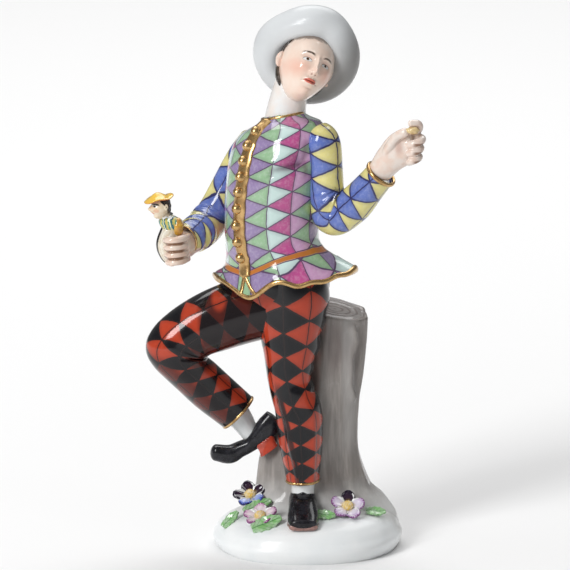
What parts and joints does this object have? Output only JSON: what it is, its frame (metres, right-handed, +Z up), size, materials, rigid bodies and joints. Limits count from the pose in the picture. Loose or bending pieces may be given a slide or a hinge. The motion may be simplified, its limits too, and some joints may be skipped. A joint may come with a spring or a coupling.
{
  "type": "comedy player figurine",
  "caption": "Glazed porcelain figurine of a comedy player in lozenge costume and wide white hat, one leg raised, against a tree stump on a flowered mound, with a puppet in the fist.",
  "frame": {"origin": "middle of the flat underside of the mound", "axes": "+Z up along the figure, -Y towards the viewer who faces it, +X to that viewer's right"},
  "size_m": [0.0961, 0.065, 0.1915],
  "materials": {
    "white_glaze": "clear glossy glaze over white porcelain",
    "bark": "grey-brown wash under a glossy glaze",
    "jacket": "enamel lozenges in green, purple, mint, magenta and pink, glossy",
    "sleeve": "enamel lozenges in blue and pale yellow, glossy",
    "trousers": "enamel lozenges in black and orange-red, glossy",
    "gold": "fired gilding",
    "skin": "pale flesh enamel, glossy",
    "hair": "painted black-brown strands, glossy",
    "shoe": "black enamel, glossy",
    "heel": "red enamel, glossy",
    "leaf": "pale green enamel, glossy",
    "flower": "tinted petals with a yellow heart, glossy",
    "puppet_hat": "yellow enamel, glossy",
    "puppet_skin": "pale enamel with painted features, glossy",
    "puppet_dress": "green, teal and yellow enamel, glossy"
  },
  "bodies": {
    "root": {"porcelain_figurine": "white_glaze"}
  },
  "joints": []
}
